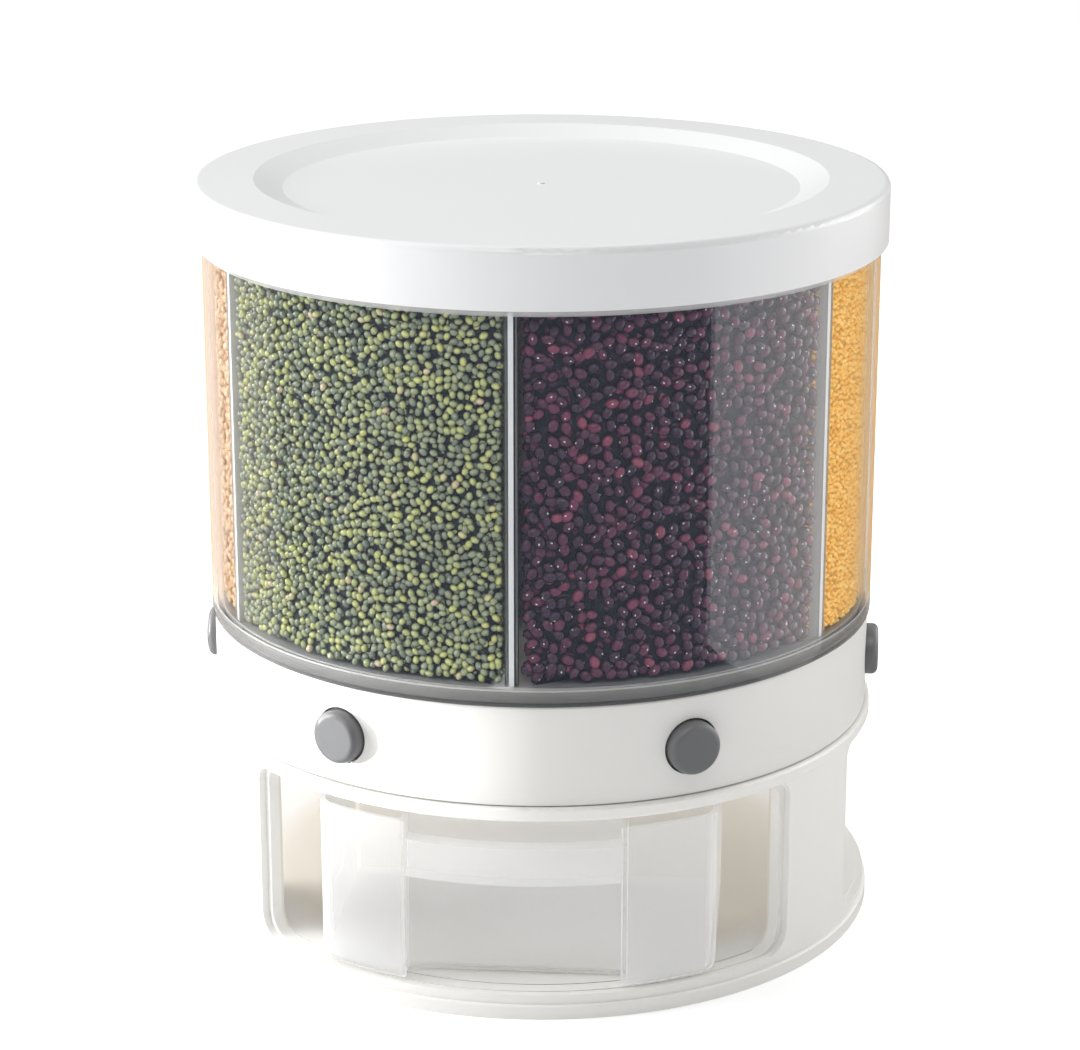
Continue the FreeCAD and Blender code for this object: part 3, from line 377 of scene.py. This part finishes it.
# %% One bean
def bean(name, length, width, thickness, sides, bands):
    """A smooth seed with few faces. The attribute `skin` holds each point's place on a unit ball."""
    mesh = bpy.data.meshes.new(name)
    shape = bmesh.new()
    bmesh.ops.create_uvsphere(shape, u_segments=sides, v_segments=bands, radius=1.0)
    layer = shape.verts.layers.float_vector.new("skin")
    for vert in shape.verts:
        vert[layer] = vert.co.copy()
    for vert in shape.verts:
        x, y, z = vert.co
        vert.co = Vector((z * length, y * width, x * thickness)) / 2
    for face in shape.faces:
        face.smooth = True
    shape.to_mesh(mesh)
    shape.free()
    return bpy.data.objects.new(name, mesh)


# %% [markdown]
# Geometry Nodes can throw points onto a surface and keep them a set distance apart, as packed beans
# are. Each point then takes a copy of the bean. Beans that lean on a wall lie flat against it, so each
# copy starts level with the wall, rolls about its own length, tips a little and spins freely. All of
# it comes from fixed seeds, and each random number shifts its wall's seed by an amount of its own.

# %% The tree that scatters beans
DRIFT_SHIFT, SIZE_SHIFT, TONE_SHIFT = 11, 23, 37


def scatter_tree():
    """Geometry Nodes that put beans on a wall. `Crowd` is how many places are tried, `Depth` and
    `Wander` how far a bean sinks in, and `Uneven` how much smaller than the rest it may be."""
    tree = bpy.data.node_groups.new("scatter beans", "GeometryNodeTree")
    face = tree.interface
    face.new_socket("Geometry", in_out="INPUT", socket_type="NodeSocketGeometry")
    for label, kind in (
        ("Spacing", "NodeSocketFloat"), ("Crowd", "NodeSocketFloat"), ("Depth", "NodeSocketFloat"),
        ("Wander", "NodeSocketFloat"), ("Uneven", "NodeSocketFloat"), ("Tip", "NodeSocketVector"),
        ("Seed", "NodeSocketInt"), ("Bean", "NodeSocketObject"), ("Skin", "NodeSocketMaterial"),
    ):
        face.new_socket(label, in_out="INPUT", socket_type=kind)
    face.new_socket("Geometry", in_out="OUTPUT", socket_type="NodeSocketGeometry")

    def add(kind, **settings):
        node = tree.nodes.new(kind)
        for key, setting in settings.items():
            setattr(node, key, setting)
        return node

    def join(source, target):
        tree.links.new(source, target)

    given, result = add("NodeGroupInput"), add("NodeGroupOutput")
    points = add("GeometryNodeDistributePointsOnFaces", distribute_method="POISSON")
    join(given.outputs["Geometry"], points.inputs["Mesh"])
    join(given.outputs["Spacing"], points.inputs["Distance Min"])
    join(given.outputs["Crowd"], points.inputs["Density Max"])
    join(given.outputs["Seed"], points.inputs["Seed"])

    def random_number(low, high, shift):
        number = add("FunctionNodeRandomValue", data_type="FLOAT")
        for socket, limit in ((number.inputs[2], low), (number.inputs[3], high)):
            if isinstance(limit, (int, float)):
                socket.default_value = limit
            else:
                join(limit, socket)
        seeds = add("ShaderNodeMath", operation="ADD")
        join(given.outputs["Seed"], seeds.inputs[0])
        seeds.inputs[1].default_value = shift
        join(seeds.outputs[0], number.inputs["Seed"])
        return number.outputs[1]

    drift = random_number(0.0, given.outputs["Wander"], DRIFT_SHIFT)
    deep = add("ShaderNodeMath", operation="ADD")
    join(given.outputs["Depth"], deep.inputs[0])
    join(drift, deep.inputs[1])
    inward = add("ShaderNodeMath", operation="MULTIPLY")
    join(deep.outputs[0], inward.inputs[0])
    inward.inputs[1].default_value = -1.0
    push = add("ShaderNodeVectorMath", operation="SCALE")
    join(points.outputs["Normal"], push.inputs[0])
    join(inward.outputs[0], push.inputs["Scale"])
    sunk = add("GeometryNodeSetPosition")
    join(points.outputs["Points"], sunk.inputs["Geometry"])
    join(push.outputs[0], sunk.inputs["Offset"])

    back = add("ShaderNodeVectorMath", operation="SCALE")
    join(given.outputs["Tip"], back.inputs[0])
    back.inputs["Scale"].default_value = -1.0
    tips = add("FunctionNodeRandomValue", data_type="FLOAT_VECTOR")
    join(back.outputs[0], tips.inputs[0])
    join(given.outputs["Tip"], tips.inputs[1])
    join(given.outputs["Seed"], tips.inputs["Seed"])
    turned = add("FunctionNodeRotateRotation", rotation_space="LOCAL")
    join(points.outputs["Rotation"], turned.inputs[0])
    join(tips.outputs[0], turned.inputs[1])
    least = add("ShaderNodeMath", operation="SUBTRACT")
    least.inputs[0].default_value = 1.0
    join(given.outputs["Uneven"], least.inputs[1])
    size = random_number(least.outputs[0], 1.0, SIZE_SHIFT)
    source = add("GeometryNodeObjectInfo")
    join(given.outputs["Bean"], source.inputs["Object"])
    copies = add("GeometryNodeInstanceOnPoints")
    join(sunk.outputs["Geometry"], copies.inputs["Points"])
    join(source.outputs["Geometry"], copies.inputs["Instance"])
    join(turned.outputs[0], copies.inputs["Rotation"])
    join(size, copies.inputs["Scale"])
    tone = add("GeometryNodeStoreNamedAttribute", data_type="FLOAT", domain="INSTANCE")
    tone.inputs["Name"].default_value = "tone"
    join(copies.outputs["Instances"], tone.inputs["Geometry"])
    join(random_number(0.0, 1.0, TONE_SHIFT), tone.inputs["Value"])
    real = add("GeometryNodeRealizeInstances")
    join(tone.outputs["Geometry"], real.inputs["Geometry"])
    coat = add("GeometryNodeSetMaterial")
    join(real.outputs["Geometry"], coat.inputs["Geometry"])
    join(given.outputs["Skin"], coat.inputs["Material"])
    join(coat.outputs["Geometry"], result.inputs["Geometry"])
    return tree


SCATTER = scatter_tree()


def scatter(walls, **values):
    """The walls with beans on them, as a plain mesh."""
    modifier = walls.modifiers.new("beans", "NODES")
    modifier.node_group = SCATTER
    for item in SCATTER.interface.items_tree:
        if item.in_out == "INPUT" and item.name in values:
            modifier[item.identifier] = values[item.name]
    walls.update_tag()
    seen = walls.evaluated_get(bpy.context.evaluated_depsgraph_get())
    mesh = bpy.data.meshes.new_from_object(seen)
    walls.modifiers.remove(modifier)
    return mesh


# %% [markdown]
# A compartment is a wedge between two vanes. Its walls are the curved front, the two flat sides, the
# level top and a small curve near the hub. The front is a grid, so that it follows the barrel.

# %% The walls of one compartment
FOOD_OUTER, FOOD_INNER, VANE_SIDE = 134.2, 15.0, 2.8
FILL_LOW, FILL_HIGH = 136.4, 285.6
FRONT_STEPS, HUB_STEPS = 24, 6


def wedge_walls(name, turn, inset, which):
    """Open walls of a compartment, `inset` millimetres inside the food's own surface."""
    outer, side = FOOD_OUTER - inset, VANE_SIDE + inset
    low, high = FILL_LOW + inset, FILL_HIGH - inset
    half = math.radians(30)

    def ring(radius, count):
        reach = half - math.asin(side / radius)
        return [(radius, -reach + 2 * reach * i / count) for i in range(count + 1)]

    def place(radius, angle, height):
        a = math.radians(turn) + angle
        return Vector((radius * math.sin(a), -radius * math.cos(a), height)) * MM

    shape = bmesh.new()

    def strip(path, lows, highs):
        pairs = [(shape.verts.new(place(*p, lows)), shape.verts.new(place(*p, highs))) for p in path]
        for (a, b), (c, d) in zip(pairs, pairs[1:]):
            shape.faces.new((a, c, d, b))

    front, back = ring(outer, FRONT_STEPS), ring(FOOD_INNER, HUB_STEPS)
    if "front" in which:
        strip(front, low, high)
    if "right" in which:
        strip([front[-1], back[-1]], low, high)
    if "left" in which:
        strip([back[0], front[0]], low, high)
    if "hub" in which:
        strip(back[::-1], low, high)
    if "top" in which:
        rim = [shape.verts.new(place(*p, high)) for p in front + back[::-1]]
        shape.faces.new(rim)
    if "bottom" in which:
        rim = [shape.verts.new(place(*p, low)) for p in front + back[::-1]]
        shape.faces.new(rim[::-1])
    bmesh.ops.remove_doubles(shape, verts=shape.verts, dist=1e-6)
    mesh = bpy.data.meshes.new(name)
    shape.to_mesh(mesh)
    shape.free()
    walls = bpy.data.objects.new(name, mesh)
    bpy.context.collection.objects.link(walls)
    return walls


# %% [markdown]
# Each food has its own skin. Mung beans are olive green and a little waxy, adzuki beans are deep red
# with a pale scar, millet is dull and yellow, and split lentils are orange.

# %% Skins of the four foods
SEED_OUTLINE = (0.022, 0.027, 0.036, 1)


def seed_skin(name, stops, roughness, rim, scar=None, inner_light=0.0):
    """`rim` darkens each seed towards its outline, where its neighbours keep the light off it.
    `inner_light` stands in for the light that scatters inside small pale grains."""
    recipe = Recipe(name)
    tone = recipe.node("ShaderNodeAttribute", {"attribute_name": "tone"}, out=2)
    colour = recipe.blend(recipe.facing() * rim, recipe.ramp(stops, tone), SEED_OUTLINE)
    if scar:
        skin = recipe.node("ShaderNodeAttribute", {"attribute_name": "skin"}, out=1)
        x, z = (recipe.along(axis, skin) for axis in (0, 2))
        mask = (x > scar["edge"]) * (z * z < scar["long"] ** 2)
        colour = recipe.blend(mask, colour, (*scar["colour"], 1))
    recipe.set(Base_Color=colour, Roughness=roughness, IOR=1.48, Coat_Weight=0.4, Coat_Roughness=0.12)
    recipe.set(Emission_Color=colour, Emission_Strength=inner_light)
    return recipe.material


def core_shade_skin(name, dark, light, cell):
    """The food seen in the gaps between the outer beans: cells `cell` millimetres wide, in a darker
    tone of its own colour, which is painted shade for the gaps."""
    recipe = Recipe(name)
    cells = recipe.node("ShaderNodeTexVoronoi", None, recipe.places(), Scale=1 / (cell * MM))
    recipe.set(Base_Color=recipe.blend(cells * 1.4, (*light, 1), (*dark, 1)), Roughness=0.7)
    recipe.bump(1 - cells, 0.8, 1 * MM)
    return recipe.material


PLAIN_FACES, SIDE_SPREAD = (6, 4), 1.25
ROLL_FREELY, LIE_FLAT = (math.pi, 0.35, math.pi), (0.35, 0.35, math.pi)
# Each food's `core` pair is the dark and the light tone of the painted shade seen in the gaps between its
# beans.
FOODS = {
    "mung_bean": dict(
        turn=-30, size=(3.8, 3.1, 3.0), spacing=2.4, layers=2, faces=(9, 6), tip=ROLL_FREELY,
        stops=[(0, (0.22, 0.26, 0.19)), (0.35, (0.38, 0.42, 0.27)), (0.7, (0.52, 0.56, 0.26)),
               (0.96, (0.72, 0.74, 0.25)), (1, (0.82, 0.64, 0.45))],
        roughness=0.30, rim=0.95, scar=dict(edge=0.95, long=0.3, colour=(0.85, 0.85, 0.78)),
        core=((0.006, 0.008, 0.012), (0.030, 0.036, 0.032))),
    "adzuki_bean": dict(
        turn=30, size=(5.8, 4.7, 4.6), spacing=3.6, layers=2, faces=(12, 8), tip=ROLL_FREELY,
        stops=[(0, (0.050, 0.022, 0.045)), (0.5, (0.095, 0.025, 0.055)),
               (0.88, (0.19, 0.035, 0.082)), (1, (0.38, 0.075, 0.13))],
        roughness=0.25, rim=0.85, scar=dict(edge=0.962, long=0.45, colour=(0.86, 0.76, 0.80)),
        core=((0.004, 0.006, 0.010), (0.012, 0.009, 0.016))),
    "millet": dict(
        turn=90, size=(2.0, 1.8, 1.8), spacing=1.6, layers=1, faces=(5, 4), tip=ROLL_FREELY,
        stops=[(0, (0.90, 0.51, 0.09)), (0.5, (0.96, 0.60, 0.13)), (1, (0.99, 0.72, 0.24))],
        roughness=0.5, rim=0.10, inner_light=0.36, core=((0.80, 0.43, 0.07), (0.94, 0.56, 0.11))),
    "lentil": dict(
        turn=-90, size=(3.8, 3.8, 2.2), spacing=2.8, layers=1, faces=(8, 4), tip=LIE_FLAT,
        stops=[(0, (0.72, 0.40, 0.17)), (0.5, (0.82, 0.52, 0.25)), (1, (0.92, 0.68, 0.40))],
        roughness=0.5, rim=0.20, core=((0.52, 0.27, 0.10), (0.74, 0.45, 0.20))),
}


# %% Fill the compartments
def bean_piece(label, mesh, material):
    """One mesh of beans as a piece that rides on the hopper."""
    mesh.name = label
    mesh.materials.clear()
    mesh.materials.append(material)
    piece = bpy.data.objects.new(label, mesh)
    bpy.context.collection.objects.link(piece)
    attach(piece, "hopper")
    triangles = sum(len(polygon.vertices) - 2 for polygon in mesh.polygons)
    print(f"{label}: {triangles:,} triangles")
    return triangles


PIT_OUTER, PIT_INNER = (59.5, 117.5), (15.5, 36.5)
SPOUT_OUTER, SPOUT_INNER = (17.4, 83.4), (17.4, 72.6)
PIT_TOP, SPOUT_TOP, GATE_TOP = 137.4, 105.9, 103.9


def funnel_core(shape, turn):
    """The food in the sloping pit below a compartment, down to the closed gate. An edge is given by
    half its length and its distance from the upright axis, in millimetres."""
    a = math.radians(turn)

    def loop(outer, inner, height):
        points = []
        for side, out in (outer, (-outer[0], outer[1]), (-inner[0], inner[1]), inner):
            x = out * math.sin(a) + side * math.cos(a)
            y = -out * math.cos(a) + side * math.sin(a)
            points.append(shape.verts.new(Vector((x, y, height)) * MM))
        return points

    loops = [loop(PIT_OUTER, PIT_INNER, PIT_TOP), loop(SPOUT_OUTER, SPOUT_INNER, SPOUT_TOP),
             loop(SPOUT_OUTER, SPOUT_INNER, GATE_TOP)]
    for upper, lower in zip(loops, loops[1:]):
        for i in range(4):
            j = (i + 1) % 4
            shape.faces.new((upper[i], upper[j], lower[j], lower[i]))
    shape.faces.new(loops[0][::-1])
    shape.faces.new(loops[-1])


def core_piece(food, facts, inset):
    """The mass behind a food's outer beans, dark with painted shade. It stands for the rigid solid of that
    food.
    """
    width = facts["size"][1]
    walls = wedge_walls("walls", facts["turn"], inset + CORE_DEPTH * width, ALL_WALLS)
    shape = bmesh.new()
    shape.from_mesh(walls.data)
    funnel_core(shape, facts["turn"])
    bmesh.ops.recalc_face_normals(shape, faces=shape.faces)
    mesh = bpy.data.meshes.new(f"{food}_core")
    shape.to_mesh(mesh)
    shape.free()
    bpy.data.objects.remove(walls)
    # The core takes painted shade for the gaps between beans.
    mesh.materials.append(core_shade_skin(f"{food} core", *facts["core"], CELL_SHARE * width))
    core = bpy.data.objects.new(f"{food}_core", mesh)
    bpy.context.collection.objects.link(core)
    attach(core, "hopper")
    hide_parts(f"{food}_fill")


LAYERS = [("front", ("front",), 0), ("front_behind", ("front",), 1), ("right", ("right",), 0),
          ("left", ("left",), 0), ("top", ("top", "hub"), 0)]
ALL_WALLS = ("front", "right", "left", "hub", "top", "bottom")
SKIN_FACTS = ("stops", "roughness", "rim", "scar", "inner_light")
TRIES, UNEVEN, WANDER, LAYER_DEPTH, CORE_DEPTH, CELL_SHARE = 3, 0.14, 0.2, 0.5, 0.3, 0.85
FIRST_SEED, SEEDS_PER_FOOD = 17, 5
total = 0
for number, (food, facts) in enumerate(FOODS.items()):
    length, width, thickness = (size * MM for size in facts["size"])
    front_seed = bean(f"{food} seed", length, width, thickness, *facts["faces"])
    plain_seed = bean(f"{food} plain seed", length, width, thickness, *PLAIN_FACES)
    skin = seed_skin(f"{food} skin", **{key: facts[key] for key in SKIN_FACTS if key in facts})
    inset = sum(facts["size"][:2]) / 4
    for shift, (label, parts, layer) in enumerate(LAYERS):
        if layer < facts["layers"]:
            spread = 1 if "front" in parts else SIDE_SPREAD
            spacing = facts["spacing"] * MM * spread
            walls = wedge_walls("walls", facts["turn"], inset, parts)
            mesh = scatter(
                walls, Bean=front_seed if label == "front" else plain_seed, Skin=skin, Uneven=UNEVEN,
                Crowd=TRIES / spacing ** 2, Spacing=spacing, Tip=facts["tip"], Wander=WANDER * width,
                Depth=layer * LAYER_DEPTH * width, Seed=FIRST_SEED + SEEDS_PER_FOOD * number + shift,
            )
            bpy.data.objects.remove(walls)
            total += bean_piece(f"{food}s_{label}", mesh, skin)
    core_piece(food, facts, inset)
print(f"beans and grains: {total:,} triangles")

# %% [markdown]
# The photograph has a white ground with no horizon. The floor gives off a little light, so that it
# stays white, and it reaches far out. Clear plastic on a white floor would reflect the floor all over
# and turn grey, so the floor is left out of reflections. A dim ground takes its place in them, blue
# in front and brown behind. The sky is bright overhead and dim near the horizon, and a flag keeps
# most of it off the front right, where the photograph's shadows are.

# %% The floor and the sky
FLOOR_REACH, FLOOR_GLOW = 40.0, 0.19
HORIZON, ZENITH, FLAG = 0.10, 1.50, 0.88
FRONT_GROUND, BACK_GROUND = (0.31, 0.36, 0.48, 1), (0.20, 0.16, 0.13, 1)
floor_paint = Recipe("floor paint")
floor_paint.set(Base_Color=(0.93, 0.93, 0.93, 1), Roughness=0.9)
floor_paint.set(Emission_Color=(1, 1, 1, 1), Emission_Strength=FLOOR_GLOW)
floor_mesh = bpy.data.meshes.new("floor")
floor_shape = bmesh.new()
bmesh.ops.create_grid(floor_shape, x_segments=1, y_segments=1, size=FLOOR_REACH)
floor_shape.to_mesh(floor_mesh)
floor_shape.free()
floor_mesh.materials.append(floor_paint.material)
floor = bpy.data.objects.new("floor", floor_mesh)
bpy.context.collection.objects.link(floor)
floor.visible_glossy = False
world = bpy.data.worlds.new("studio")
world.use_nodes = True
sky = Recipe("sky")
sky.tree = world.node_tree
direction = sky.node("ShaderNodeTexCoord", out=0)
across, depth, height = (sky.along(axis, direction) for axis in range(3))
flag = sky.clamp(across * 0.5 - depth * 0.85) * FLAG
glow = (height * (ZENITH - HORIZON) + HORIZON) * (1 - flag)
ground = sky.blend(sky.clamp(depth * 2 + 0.4), FRONT_GROUND, BACK_GROUND)
white = sky.node("ShaderNodeCombineColor", None, glow, glow, glow)
colour = sky.blend(height > 0, ground, white)
sky.feed(world.node_tree.nodes["Background"].inputs["Color"], colour)
bpy.data.materials.remove(sky.material)
bpy.context.scene.world = world
bpy.context.scene.view_settings.view_transform = "Standard"

# %% [markdown]
# The biggest light stands low at the left, as a window would, and a weaker one stands behind at the
# right. A softbox in front has a twin in the same place, the sparkle, that shows in reflections only
# and gives each bean its highlight. Two cards show in reflections only too, and they give the barrel
# its tall pale reflections with sharp edges. A strip light at the height of the buttons shines almost
# straight ahead, so it brightens their left sides and little else.


# %% The lights
def soft_light(name, place, target, width, height, radiance, reflections_only=False):
    """A rectangle of light. Its power follows from how bright its face is to look at."""
    lamp = bpy.data.lights.new(name, "AREA")
    lamp.shape = "RECTANGLE"
    lamp.size, lamp.size_y, lamp.energy = width, height, radiance * math.pi * width * height
    light = bpy.data.objects.new(name, lamp)
    light.location = place
    light.rotation_euler = (Vector(target) - Vector(place)).to_track_quat("-Z", "Y").to_euler()
    light.visible_camera = False
    light.visible_diffuse = not reflections_only
    light.visible_transmission = not reflections_only
    bpy.context.collection.objects.link(light)
    return light


MIDDLE, SOFTBOX = (0, 0, 0.2), (0.1, -1.0, 1.3)
BUTTON_HEIGHT, CARD_HEIGHT, RIGHT_CARD_DEPTH, LEFT_CARD_DEPTH = 0.108, 0.24, -0.0975, 0.16
soft_light("window light", (-1.5, -0.04, 0.60), MIDDLE, 1.1, 0.9, 10.0)
soft_light("side light", (1.1, 0.70, 0.45), MIDDLE, 0.8, 0.8, 3.4)
soft_light("softbox", SOFTBOX, MIDDLE, 0.9, 0.5, 1.0)
soft_light("sparkle", SOFTBOX, MIDDLE, 0.9, 0.5, 5.0, reflections_only=True)
strip = soft_light("strip light", (-1.2, -0.10, BUTTON_HEIGHT), (0, 0, BUTTON_HEIGHT), 0.5, 0.04, 3.0)
strip.data.spread = math.radians(5)
for name, side, depth, width, radiance in (
    ("card", 0.50, RIGHT_CARD_DEPTH, 0.455, 1.4),
    ("left card", -0.50, LEFT_CARD_DEPTH, 0.42, 0.5),
):
    place, target = (side, depth, CARD_HEIGHT), (0, depth, CARD_HEIGHT)
    soft_light(name, place, target, width, 0.52, radiance, reflections_only=True)

# %% [markdown]
# The camera was fitted to the round edges of the lid and the stand in the photograph.

# %% The camera
CAMERA_TURN, CAMERA_RISE, CAMERA_REACH, AIM = 4.85, 17.4, 1.3, Vector((0, 0, 0.1583))
turn, rise = math.radians(CAMERA_TURN), math.radians(CAMERA_RISE)
outward = Vector((math.sin(turn) * math.cos(rise), -math.cos(turn) * math.cos(rise), math.sin(rise)))
lens = bpy.data.cameras.new("camera")
lens.sensor_width, lens.lens, lens.shift_x = 36.0, 104.04, -0.0013
camera = bpy.data.objects.new("camera", lens)
camera.location = AIM + outward * CAMERA_REACH
camera.rotation_euler = (-outward).to_track_quat("-Z", "Y").to_euler()
bpy.context.collection.objects.link(camera)
bpy.context.scene.camera = camera

# %% Finish
bpy.context.view_layer.update()
